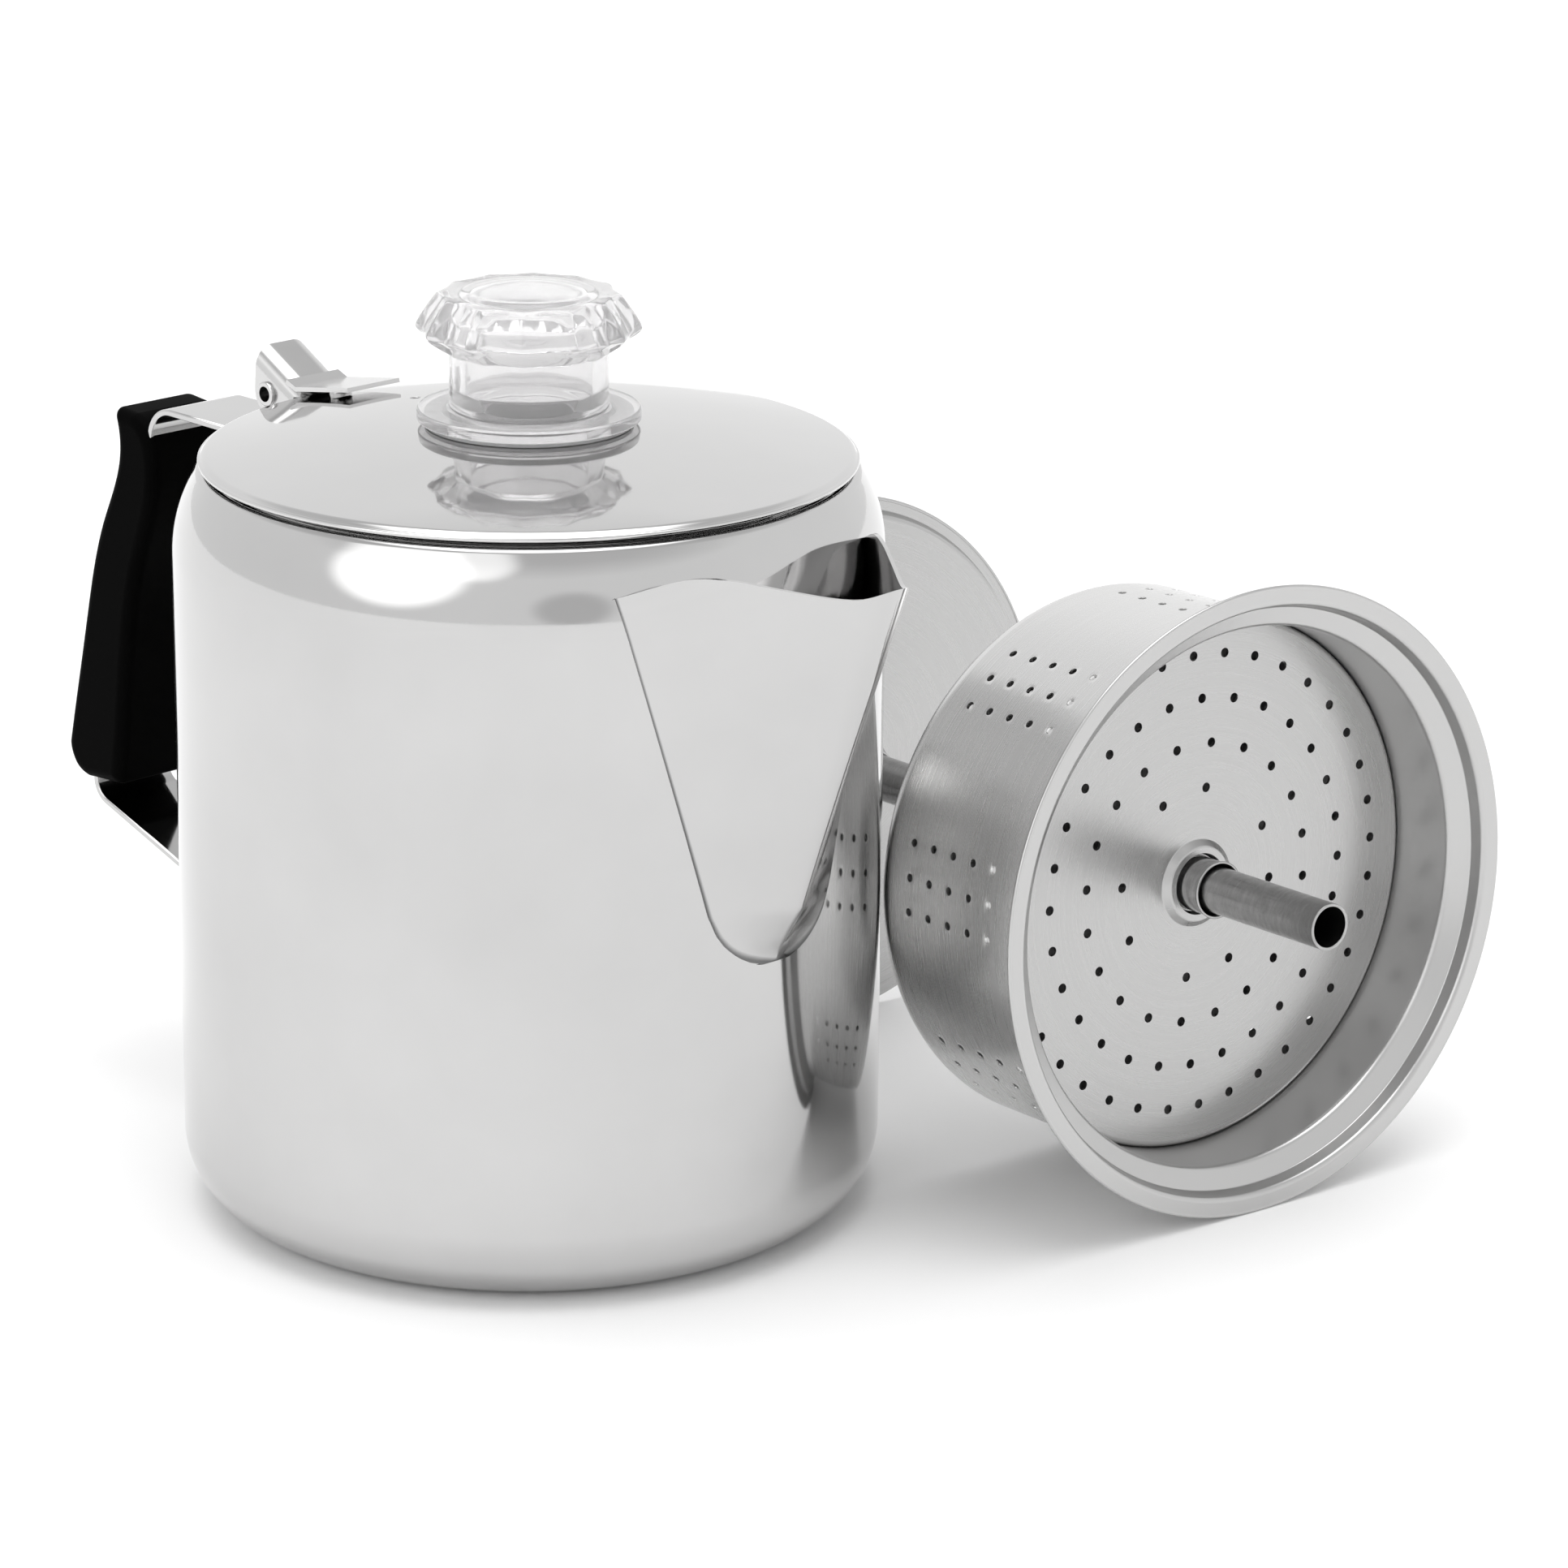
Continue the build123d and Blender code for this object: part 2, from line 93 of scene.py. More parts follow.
STEM_R = 4.75
STEM_BORE_R = 4.1
STEM_TOP = 40.0
BASE_PLATE_AT = -123.0
BASE_PLATE_R = 57.9
BASKET_R = 56.0
BASKET_GAUGE = 0.8
BASKET_FLOOR_AT = -33.6
FLANGE_AT = 19.5
FLANGE_R = 64.0
EDGE_BEAD_R = 0.45
GUIDE_BORE_R = 5.1
GUIDE_GAUGE = 0.5
SPREADER_GAUGE = 0.6
SPREADER_R = 54.95
WALL_HOLE_R = 0.85
WALL_HOLE_COUNTS = (4, 5, 5, 5, 5, 4, 4, 4)
PLATE_HOLE_R = 1.0
INSERT_FOOT = (88.85, 99.82)
INSERT_HEADING = math.radians(-7.4)
INSERT_TILT = math.atan2(FLANGE_R - BASE_PLATE_R, FLANGE_AT - BASE_PLATE_AT)


# ---- outlines -----------------------------------------------------------------------------------

def rounded(points, radii, step=0.12):
    """A polyline with its inner corners turned into arcs, as a list of 2-D points."""
    path = [Vector(points[0])]
    for before, corner, after, radius in zip(points, points[1:], points[2:], radii):
        corner = Vector(corner)
        back = (Vector(before) - corner).normalized()
        on = (Vector(after) - corner).normalized()
        half = back.angle(on) / 2
        centre = corner + (back + on).normalized() * radius / math.sin(half)
        start = corner + back * radius / math.tan(half) - centre
        turn = math.pi - 2 * half
        side = 1 if back.cross(on) < 0 else -1
        steps = max(2, math.ceil(turn / step))
        for i in range(steps + 1):
            path.append(centre + Matrix.Rotation(side * turn * i / steps, 2) @ start)
    path.append(Vector(points[-1]))
    return path


def between(low, high, count):
    """Evenly spaced values from low to high, both included."""
    return [low + (high - low) * i / count for i in range(count + 1)]


def around(count):
    """Evenly spaced angles of a whole turn, in radians."""
    return [TURN * i / count for i in range(count)]


def arc_points(centre, radius, start, end, count):
    """Points of an arc, angles in degrees."""
    angles = [math.radians(a) for a in between(start, end, count)]
    return [Vector((centre[0] + radius * math.cos(a), centre[1] + radius * math.sin(a))) for a in angles]


# ---- mesh tools ---------------------------------------------------------------------------------

def insert_place():
    """Matrix from the insert's own frame (Z along the stem) to the object's frame, in millimetres."""
    height = EDGE_BEAD_R + FLANGE_R * math.cos(INSERT_TILT) - FLANGE_AT * math.sin(INSERT_TILT)
    along = Vector((math.cos(INSERT_TILT) * math.cos(INSERT_HEADING),
                    math.cos(INSERT_TILT) * math.sin(INSERT_HEADING), math.sin(INSERT_TILT)))
    across = Vector((-math.sin(INSERT_HEADING), math.cos(INSERT_HEADING), 0))
    up = along.cross(across)
    turn = Matrix((across, up, along)).transposed().to_4x4()
    return Matrix.Translation((*INSERT_FOOT, height)) @ turn


POT_FRAME = Matrix.Identity(4)
INSERT_FRAME = insert_place()


def lathe(bm, profile, angles, closed_profile=False):
    """Adds a sheet turned about Z. angles is a list of column angles in radians, or a count."""
    if isinstance(angles, int):
        angles = around(angles)
    rings = [[bm.verts.new((r * math.cos(a), r * math.sin(a), z)) for a in angles] for r, z in profile]
    pairs = list(zip(rings, rings[1:]))
    if closed_profile:
        pairs.append((rings[-1], rings[0]))
    for low, high in pairs:
        for i in range(len(angles)):
            j = (i + 1) % len(angles)
            bm.faces.new((low[i], low[j], high[j], high[i]))


def pierced_sheet(bm, columns, rows, holes, place):
    """Adds a quad sheet over a grid of parameters, closed round its columns, with round holes.

    columns and rows are parameter values, and place(u, v) gives the point there. A hole is
    (column, row, span, reach_u, reach_v): it sits in the block of span x span cells that starts
    at that column and row, and reach is its radius in each parameter.
    """
    count = len(columns)
    verts = {}

    def corner(i, j):
        i = i % count
        if (i, j) not in verts:
            verts[i, j] = bm.verts.new(place(columns[i], rows[j]))
        return verts[i, j]

    taken = {(i + a, j + b) for i, j, span, _, _ in holes for a in range(span) for b in range(span)}
    for i in range(count):
        for j in range(len(rows) - 1):
            if (i, j) not in taken:
                bm.faces.new((corner(i, j), corner(i + 1, j), corner(i + 1, j + 1), corner(i, j + 1)))
    for i, j, span, reach_u, reach_v in holes:
        loop = ([(i + a, j) for a in range(span)] + [(i + span, j + a) for a in range(span)]
                + [(i + span - a, j + span) for a in range(span)] + [(i, j + span - a) for a in range(span)])
        middle_u = (columns[i] + columns[i + span]) / 2
        middle_v = (rows[j] + rows[j + span]) / 2
        border = [corner(a, b) for a, b in loop]
        rim = []
        for a, b in loop:
            u = (columns[a] - middle_u) / reach_u
            v = (rows[b] - middle_v) / reach_v
            size = math.hypot(u, v)
            rim.append((middle_u + reach_u * u / size, middle_v + reach_v * v / size, columns[a], rows[b]))
        ease = [bm.verts.new(place((u * 2 + cu) / 3, (v * 2 + cv) / 3)) for u, v, cu, cv in rim]
        edge = [bm.verts.new(place(u, v)) for u, v, _, _ in rim]
        for outer, inner in ((border, ease), (ease, edge)):
            for a in range(len(loop)):
                b = (a + 1) % len(loop)
                bm.faces.new((outer[a], outer[b], inner[b], inner[a]))


def pierced_disc(bm, outer, inner, holes, height):
    """Adds a flat ring in the plane z = height with round holes; outer and inner are lists of points."""
    curve = bpy.data.curves.new("disc", "CURVE")
    curve.dimensions = "2D"
    curve.fill_mode = "BOTH"
    loops = [outer, inner]
    for x, y, radius in holes:
        loops.append([(x + radius * math.cos(a), y + radius * math.sin(a)) for a in around(24)])
    for loop in loops:
        spline = curve.splines.new("POLY")
        spline.points.add(len(loop) - 1)
        for point, (x, y) in zip(spline.points, loop):
            point.co = (x, y, 0, 1)
        spline.use_cyclic_u = True
    holder = bpy.data.objects.new("disc", curve)
    bpy.context.scene.collection.objects.link(holder)
    flat = bpy.data.meshes.new_from_object(holder.evaluated_get(bpy.context.evaluated_depsgraph_get()))
    made = [bm.verts.new((v.co.x, v.co.y, height)) for v in flat.vertices]
    for face in flat.polygons:
        bm.faces.new([made[v] for v in face.vertices])
    bpy.data.objects.remove(holder)
    bpy.data.curves.remove(curve)
    bpy.data.meshes.remove(flat)


def flatten(mesh, axis):
    """Makes the faces that lie square to an axis shade truly flat."""
    heights = [vertex.co.dot(axis) for vertex in mesh.vertices]
    normals = [Vector(corner.vector) for corner in mesh.corner_normals]
    for face in mesh.polygons:
        levels = [heights[v] for v in face.vertices]
        if max(levels) - min(levels) < 0.002 * MM:
            for corner in face.loop_indices:
                normals[corner] = axis if face.normal.dot(axis) > 0 else -axis
    mesh.normals_split_custom_set(normals)


def piece(name, bm, body, material, node, place=POT_FRAME, gauge=0.0, bevel=0.0, offset=0.0,
          weld=0.001, flat_along=False):
    """Finishes a mesh made in millimetres: thickness, soft edges, shading, then body and material.

    flat_along keeps the faces square to the piece's own Z truly flat.
    """
    bmesh.ops.remove_doubles(bm, verts=bm.verts, dist=weld)
    bmesh.ops.recalc_face_normals(bm, faces=bm.faces)
    for face in bm.faces:
        face.smooth = True
    bmesh.ops.transform(bm, matrix=Matrix.Scale(MM, 4) @ place, verts=bm.verts)
    mesh = bpy.data.meshes.new(name)
    bm.to_mesh(mesh)
    bm.free()
    rough = bpy.data.objects.new(name, mesh)
    bpy.context.scene.collection.objects.link(rough)
    if gauge:
        thick = rough.modifiers.new("gauge", "SOLIDIFY")
        thick.thickness = gauge * MM
        thick.offset = offset
        thick.use_even_offset = True
    if bevel:
        soft = rough.modifiers.new("edges", "BEVEL")
        soft.width = bevel * MM
        soft.segments = 2
        soft.limit_method = "ANGLE"
        soft.angle_limit = math.radians(40)
        soft.use_clamp_overlap = True
    shade = rough.modifiers.new("shade", "WEIGHTED_NORMAL")
    shade.keep_sharp = True
    depsgraph = bpy.context.evaluated_depsgraph_get()
    final = bpy.data.meshes.new_from_object(rough.evaluated_get(depsgraph))
    bpy.data.objects.remove(rough)
    bpy.data.meshes.remove(mesh)
    final.name = name
    if flat_along:
        flatten(final, (place.to_3x3() @ Vector((0, 0, 1))).normalized())
    final.materials.clear()
    final.materials.append(material)
    made = bpy.data.objects.new(name, final)
    bpy.context.scene.collection.objects.link(made)
    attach(made, body)
    if node:
        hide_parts(node)


# ---- materials ----------------------------------------------------------------------------------

def new_material(name):
    """A node material that holds only its shader: the material, its tree and the shader."""
    material = bpy.data.materials.new(name)
    material.use_nodes = True
    tree = material.node_tree
    tree.nodes.clear()
    output = tree.nodes.new("ShaderNodeOutputMaterial")
    shader = tree.nodes.new("ShaderNodeBsdfPrincipled")
    tree.links.new(shader.outputs["BSDF"], output.inputs["Surface"])
    return material, tree, shader


def add(tree, kind, **settings):
    """Adds a node; a setting is an input by name, or an attribute when the node has it."""
    node = tree.nodes.new(kind)
    for key, value in settings.items():
        if hasattr(node, key):
            setattr(node, key, value)
        else:
            node.inputs[key.replace("_", " ")].default_value = value
    return node


def ramp(tree, source, stops):
    """Colour ramp between (position, grey or colour) stops."""
    node = tree.nodes.new("ShaderNodeValToRGB")
    tree.links.new(source, node.inputs["Fac"])
    elements = node.color_ramp.elements
    while len(elements) < len(stops):
        elements.new(0.5)
    for element, (position, value) in zip(elements, stops):
        element.position = position
        colour = value if isinstance(value, tuple) else (value, value, value)
        element.color = (*colour, 1)
    return node.outputs["Color"]


def mixed(tree, factor, first, second):
    """A colour between a socket and a fixed colour."""
    node = tree.nodes.new("ShaderNodeMix")
    node.data_type = "RGBA"
    tree.links.new(factor, node.inputs["Factor"])
    tree.links.new(first, node.inputs[6])
    node.inputs[7].default_value = (*second, 1)
    return node.outputs[2]


def math_node(tree, operation, first, second=0.0):
    """One arithmetic step between sockets or numbers."""
    node = add(tree, "ShaderNodeMath", operation=operation)
    for socket, value in zip(node.inputs, (first, second)):
        if isinstance(value, (int, float)):
            socket.default_value = value
        else:
            tree.links.new(value, socket)
    return node.outputs["Value"]


def bump(tree, shader, height, distance, strength=1.0):
    """Small relief on the shader's normal, distance in millimetres."""
    node = add(tree, "ShaderNodeBump", Strength=strength, Distance=distance * MM)
    tree.links.new(height, node.inputs["Height"])
    tree.links.new(node.outputs["Normal"], shader.inputs["Normal"])


def crease_shade_mask(tree, place):
    """Mask for painted shade: 1 where the sheet meets the pot's outer wall, 0 from half a millimetre away
    from it.
    """
    split = add(tree, "ShaderNodeSeparateXYZ")
    tree.links.new(place, split.inputs["Vector"])
    x, y, z = (split.outputs[axis] for axis in "XYZ")
    radius = math_node(tree, "SQRT", math_node(tree, "ADD", math_node(tree, "MULTIPLY", x, x),
                                               math_node(tree, "MULTIPLY", y, y)))
    rise = math_node(tree, "MAXIMUM", math_node(tree, "SUBTRACT", z, SHOULDER_Z * MM), 0.0)
    arc = math_node(tree, "SQRT", math_node(tree, "SUBTRACT", (SHOULDER_R * MM) ** 2,
                                            math_node(tree, "MULTIPLY", rise, rise)))
    clear = math_node(tree, "SUBTRACT", math_node(tree, "SUBTRACT", radius, arc), (POT_R - SHOULDER_R) * MM)
    fade = add(tree, "ShaderNodeMapRange")
    tree.links.new(clear, fade.inputs["Value"])
    fade.inputs["From Min"].default_value = 0.54 * MM
    fade.inputs["From Max"].default_value = 0.36 * MM
    return fade.outputs["Result"]


def polished_steel(name, shade, rough, stretch, shaded_crease=False):
    """Mirror-polished stainless sheet with faint waviness, haze and wiping marks.

    shade and rough are (low, high); stretch lengthens the wiping marks along each axis; shaded_crease
    paints shade, a dark line along the crease where the sheet meets the pot's wall.
    """
    material, tree, shader = new_material(name)
    shader.inputs["Metallic"].default_value = 1.0
    place = add(tree, "ShaderNodeTexCoord").outputs["Object"]
    cloud = add(tree, "ShaderNodeTexNoise", Scale=18.0, Detail=5.0, Roughness=0.55)
    wipe = add(tree, "ShaderNodeTexNoise", Scale=110.0, Detail=6.0, Roughness=0.7)
    wave = add(tree, "ShaderNodeTexNoise", Scale=14.0, Detail=1.0)
    squeeze = add(tree, "ShaderNodeMapping", Scale=stretch)
    tree.links.new(place, squeeze.inputs["Vector"])
    tree.links.new(place, cloud.inputs["Vector"])
    tree.links.new(place, wave.inputs["Vector"])
    tree.links.new(squeeze.outputs["Vector"], wipe.inputs["Vector"])
    low, high = (tuple(value * tint for tint in (1.0, 0.996, 0.994)) for value in shade)
    colour = ramp(tree, cloud.outputs["Fac"], ((0.3, low), (0.7, high)))
    # painted shade: a dark line along the crease where the spout's sheet meets the pot's wall
    if shaded_crease:
        colour = mixed(tree, crease_shade_mask(tree, place), colour, (0.16, 0.16, 0.16))
    tree.links.new(colour, shader.inputs["Base Color"])
    tree.links.new(ramp(tree, wipe.outputs["Fac"], ((0.3, rough[0]), (0.75, rough[1]))),
                   shader.inputs["Roughness"])
    bump(tree, shader, wave.outputs["Fac"], 0.05, 0.3)
    return material


def stem_coordinates(tree):
    """Outputs in the insert's own frame: distance along the stem, distance from it, and the way outward."""
    place = add(tree, "ShaderNodeTexCoord").outputs["Object"]
    inverse = (Matrix.Scale(MM, 4) @ INSERT_FRAME @ Matrix.Scale(1 / MM, 4)).inverted()
    own = add(tree, "ShaderNodeMapping", Location=inverse.to_translation(), Rotation=inverse.to_euler())
    split = add(tree, "ShaderNodeSeparateXYZ")
    tree.links.new(place, own.inputs["Vector"])
    tree.links.new(own.outputs["Vector"], split.inputs["Vector"])
    flat = add(tree, "ShaderNodeCombineXYZ")
    tree.links.new(split.outputs["X"], flat.inputs["X"])
    tree.links.new(split.outputs["Y"], flat.inputs["Y"])
    radius = add(tree, "ShaderNodeVectorMath", operation="LENGTH")
    tree.links.new(flat.outputs["Vector"], radius.inputs[0])
    way = add(tree, "ShaderNodeVectorMath", operation="NORMALIZE")
    tree.links.new(flat.outputs["Vector"], way.inputs[0])
    return split.outputs["Z"], radius.outputs["Value"], way.outputs["Vector"]


def brushed_steel(name, shade, rough, grain, relief, smooth_shaded_zone=None):
    """Stainless with fine lines round the stem's axis.

    shade and rough are (low, high), grain is the number of lines a metre. smooth_shaded_zone is
    (radius, distance along the stem, factor, roughness): metal within that radius or beyond that distance is
    smoother, and its colour is darkened to factor times the light tone as painted shade.
    """
    material, tree, shader = new_material(name)
    shader.inputs["Metallic"].default_value = 1.0
    along, radius, way = stem_coordinates(tree)
    across = math_node(tree, "ADD", along, radius)
    lines = []
    for fine, turns in ((grain, 1.2), (grain * 2.7, 2.6)):
        join = add(tree, "ShaderNodeCombineXYZ")
        tree.links.new(math_node(tree, "MULTIPLY", across, fine), join.inputs["Z"])
        spread = add(tree, "ShaderNodeVectorMath", operation="SCALE")
        spread.inputs["Scale"].default_value = turns
        tree.links.new(way, spread.inputs[0])
        put = add(tree, "ShaderNodeVectorMath", operation="ADD")
        tree.links.new(join.outputs["Vector"], put.inputs[0])
        tree.links.new(spread.outputs["Vector"], put.inputs[1])
        noise = add(tree, "ShaderNodeTexNoise", Scale=1.0, Detail=3.0, Roughness=0.6)
        tree.links.new(put.outputs["Vector"], noise.inputs["Vector"])
        lines.append(noise.outputs["Fac"])
    mean = math_node(tree, "MULTIPLY", math_node(tree, "ADD", *lines), 0.5)
    low, high = (tuple(value * tint for tint in (1.0, 0.997, 0.992)) for value in shade)
    colour = ramp(tree, mean, ((0.35, low), (0.65, high)))
    roughness = ramp(tree, mean, ((0.3, rough[1]), (0.7, rough[0])))
    # painted shade: the zone's colour is darkened, besides being smoother
    if smooth_shaded_zone:
        near, far, factor, smooth = smooth_shaded_zone
        either = math_node(tree, "MAXIMUM", math_node(tree, "LESS_THAN", radius, near * MM),
                           math_node(tree, "GREATER_THAN", along, far * MM))
        colour = mixed(tree, either, colour, tuple(value * factor for value in high))
        roughness = mixed(tree, either, roughness, (smooth, smooth, smooth))
    tree.links.new(colour, shader.inputs["Base Color"])
    tree.links.new(roughness, shader.inputs["Roughness"])
    bump(tree, shader, mean, relief)
    return material


def grip_plastic():
    """Matte black moulded plastic with a fine leather-like grain."""
    material, tree, shader = new_material("grip_plastic")
    place = add(tree, "ShaderNodeTexCoord").outputs["Object"]
    grain = add(tree, "ShaderNodeTexNoise", Scale=1400.0, Detail=3.0)
    patch = add(tree, "ShaderNodeTexNoise", Scale=60.0, Detail=4.0)
    tree.links.new(place, grain.inputs["Vector"])
    tree.links.new(place, patch.inputs["Vector"])
    tree.links.new(ramp(tree, patch.outputs["Fac"], ((0.3, 0.0008), (0.7, 0.0016))),
                   shader.inputs["Base Color"])
    tree.links.new(ramp(tree, patch.outputs["Fac"], ((0.3, 0.42), (0.7, 0.54))), shader.inputs["Roughness"])
    shader.inputs["Specular IOR Level"].default_value = 0.012
    bump(tree, shader, grain.outputs["Fac"], 0.03, 0.5)
    return material


def clear_plastic():
    """Colourless moulded plastic, slightly wavy as pressed parts are."""
    material, tree, shader = new_material("clear_plastic")
    place = add(tree, "ShaderNodeTexCoord").outputs["Object"]
    wave = add(tree, "ShaderNodeTexNoise", Scale=110.0, Detail=2.0)
    haze = add(tree, "ShaderNodeTexNoise", Scale=300.0, Detail=4.0)
    tree.links.new(place, wave.inputs["Vector"])
    tree.links.new(place, haze.inputs["Vector"])
    tint = ramp(tree, wave.outputs["Fac"], ((0.3, (0.97, 0.965, 0.97)), (0.7, (1.0, 0.995, 0.998))))
    tree.links.new(tint, shader.inputs["Base Color"])
    tree.links.new(ramp(tree, haze.outputs["Fac"], ((0.35, 0.015), (0.75, 0.06))),
                   shader.inputs["Roughness"])
    shader.inputs["Transmission Weight"].default_value = 0.8
    shader.inputs["IOR"].default_value = 1.4
    bump(tree, shader, wave.outputs["Fac"], 0.12, 0.5)
    return material


def seal_rubber():
    """Translucent silicone ring."""
    material, tree, shader = new_material("seal_rubber")
    place = add(tree, "ShaderNodeTexCoord").outputs["Object"]
    patch = add(tree, "ShaderNodeTexNoise", Scale=200.0, Detail=3.0)
    tree.links.new(place, patch.inputs["Vector"])
    tree.links.new(ramp(tree, patch.outputs["Fac"], ((0.3, 0.62), (0.7, 0.72))),
                   shader.inputs["Base Color"])
    tree.links.new(ramp(tree, patch.outputs["Fac"], ((0.3, 0.3), (0.7, 0.45))), shader.inputs["Roughness"])
    shader.inputs["Transmission Weight"].default_value = 0.5
    bump(tree, shader, patch.outputs["Fac"], 0.02, 0.4)
    return material


POLISHED = polished_steel("polished_steel", (0.53, 0.575), (0.05, 0.11), (1.0, 1.0, 0.12))
# the spout's steel carries painted shade along its crease with the pot
SPOUT_STEEL = polished_steel("spout_steel", (0.53, 0.575), (0.05, 0.11), (1.0, 1.0, 0.12), True)
LID_STEEL = polished_steel("lid_steel", (0.60, 0.64), (0.035, 0.08), (0.4, 0.4, 1.0))
HINGE_STEEL = polished_steel("hinge_steel", (0.58, 0.66), (0.14, 0.22), (1.0, 0.3, 1.0))
# the basket's inside and its flange get painted shade, a darker colour, and less roughness
WALL_STEEL = brushed_steel("brushed_wall", (0.71, 0.76), (0.24, 0.32), 2600.0, 0.0004,
                           (55.45, 14.0, 0.7, 0.3))
PLATE_STEEL = brushed_steel("satin_plate", (0.475, 0.5), (0.26, 0.30), 3000.0, 0.00008)
TUBE_STEEL = brushed_steel("drawn_tube", (0.36, 0.48), (0.16, 0.26), 900.0, 0.001)
GRIP = grip_plastic()
CLEAR = clear_plastic()
SEAL = seal_rubber()


# ---- pot ----------------------------------------------------------------------------------------

def envelope_r(z):
    """Outer radius of the pot at a height."""
    rise = z - SHOULDER_Z
    if rise <= 0:
        return POT_R
    return POT_R - SHOULDER_R + math.sqrt(max(0.0, SHOULDER_R ** 2 - rise ** 2))


def make_pot_body():
    middle = POT_R - POT_GAUGE / 2
    low = rounded(((0, POT_GAUGE / 2), (middle, POT_GAUGE / 2), (middle, 94.5)), (15.0,), 0.06)
    crest = rounded(((middle, 129.5), (middle, 142.5), (64.35, 150.7), (MOUTH_R + HEM_R, 150.7)),
                    (29.6, 1.8), 0.05)
    span = 6
    cell_w, cell_h = STRAINER_CELL
    across, high = STRAINER_GRID
    foot = STRAINER_Z - cell_h * high / 2
    wall = between(foot, foot + cell_h * high, high * span)
    half = across * cell_w / 2 / middle
    columns = between(-half, half, across * span)
    columns += between(half, TURN - half, 228)[1:-1]
    profile = low[:-1] + [Vector((middle, z)) for z in wall] + crest[1:]
    holes = [(i * span, len(low) - 2 + j * span, span, STRAINER_HOLE_R / middle,
              STRAINER_HOLE_R / (cell_h / span)) for i in range(across) for j in range(high)]
    bm = bmesh.new()

    def place(u, v):
        low_i = min(int(v), len(profile) - 2)
        r, z = profile[low_i].lerp(profile[low_i + 1], v - low_i)
        return r * math.cos(u), r * math.sin(u), z

    pierced_sheet(bm, columns, list(range(1, len(profile))), holes, place)
    centre = bm.verts.new((0, 0, profile[0].y))
    ring = [v for v in bm.verts
            if abs(v.co.z - profile[1].y) < 1e-6 and abs(v.co.xy.length - profile[1].x) < 1e-4]
    ring.sort(key=lambda v: math.atan2(v.co.y, v.co.x))
    for a, b in zip(ring, ring[1:] + ring[:1]):
        bm.faces.new((centre, a, b))
    piece("pot_shell", bm, "pot", POLISHED, "pot_body", gauge=POT_GAUGE, bevel=0.15)
    bm = bmesh.new()
    hem = arc_points((MOUTH_R + HEM_R, RIM_Z - HEM_R), HEM_R, 0, 345, 23)
    lathe(bm, hem, 240, closed_profile=True)
    piece("pot_hem", bm, "pot", POLISHED, None)


def spout_level(z):
    """Half angle, reach and nose radius at a height, by straight lines between the levels."""
    for low, high in zip(SPOUT_LEVELS, SPOUT_LEVELS[1:]):
        if z <= high[0] or high is SPOUT_LEVELS[-1]:
            share = (z - low[0]) / (high[0] - low[0])
            return [a + (b - a) * share for a, b in zip(low[1:], high[1:])]


def spout_point(z, across, inset):
    """Point of the spout's skin. across runs from -1 at one seam over 0 at the nose to 1."""
    half_angle, reach, nose_r = spout_level(z)
    wall = envelope_r(z)
    angle = math.radians(half_angle)
    seam = Vector((math.cos(angle), math.sin(angle))) * (wall + SPOUT_LAP)
    nose = Vector((reach - nose_r, 0))
    away = seam - nose
    lean = math.atan2(away.y, away.x) - math.acos(nose_r / away.length)
    normal = Vector((math.cos(lean), math.sin(lean)))
    run = Vector((-normal.y, normal.x))
    radius = max(0.2, nose_r - inset)
    touch = nose + normal * radius
    start = seam - normal * inset + run * (2.0 if inset else 0.0)
    side = abs(across)
    if side > 0.999:
        point = start * (wall - 0.4) / start.length
    elif side > 0.3:
        point = touch.lerp(start, min(1.0, (side - 0.3) / 0.68))
    else:
        turn = lean * side / 0.3
        point = nose + Vector((math.cos(turn), math.sin(turn))) * radius
    return Vector((point.x, math.copysign(point.y, across) if across else 0.0, z))


def rim_height(x):
    """Height of the spout's rim at a distance from the pot's axis, a smooth line through its points."""
    points = [Vector(p) for p in SPOUT_RIM]
    for i in range(1, len(points) - 2):
        if x <= points[i + 1].x or i == len(points) - 3:
            before, a, b, after = points[i - 1:i + 3]
            t = (x - a.x) / (b.x - a.x)
            slope_a = (b.y - before.y) / (b.x - before.x) * (b.x - a.x)
            slope_b = (after.y - a.y) / (after.x - a.x) * (b.x - a.x)
            return ((2 * t ** 3 - 3 * t ** 2 + 1) * a.y + (t ** 3 - 2 * t ** 2 + t) * slope_a
                    + (3 * t ** 2 - 2 * t ** 3) * b.y + (t ** 3 - t ** 2) * slope_b)


def make_spout():
    columns = [-1.0] + between(-0.98, 0.98, 96) + [1.0]
    levels = 72
    bm = bmesh.new()
    skins = []
    for inset in (0.0, SPOUT_GAUGE):
        foot = SPOUT_LEVELS[0][0] + 0.05 + inset * 0.6
        skin = []
        for across in columns:
            held = max(-0.98, min(0.98, across))
            top = 145.0
            for _ in range(12):
                top = rim_height(spout_point(top, held, inset).x)
            skin.append([bm.verts.new(spout_point(foot + (top - foot) * (j / levels), across, inset))
                         for j in range(levels + 1)])
        skins.append(skin)
    outer, inner = skins
    last = len(columns) - 1
    for skin in skins:
        for i in range(last):
            for j in range(levels):
                bm.faces.new((skin[i][j], skin[i + 1][j], skin[i + 1][j + 1], skin[i][j + 1]))
    for i in range(last):
        bm.faces.new((outer[i][levels], outer[i + 1][levels], inner[i + 1][levels], inner[i][levels]))
        bm.faces.new((outer[i][0], outer[i + 1][0], inner[i + 1][0], inner[i][0]))
    for i in (0, last):
        for j in range(levels):
            bm.faces.new((outer[i][j], outer[i][j + 1], inner[i][j + 1], inner[i][j]))
    piece("spout_shell", bm, "pot", SPOUT_STEEL, "spout", bevel=0.12, weld=1e-5)


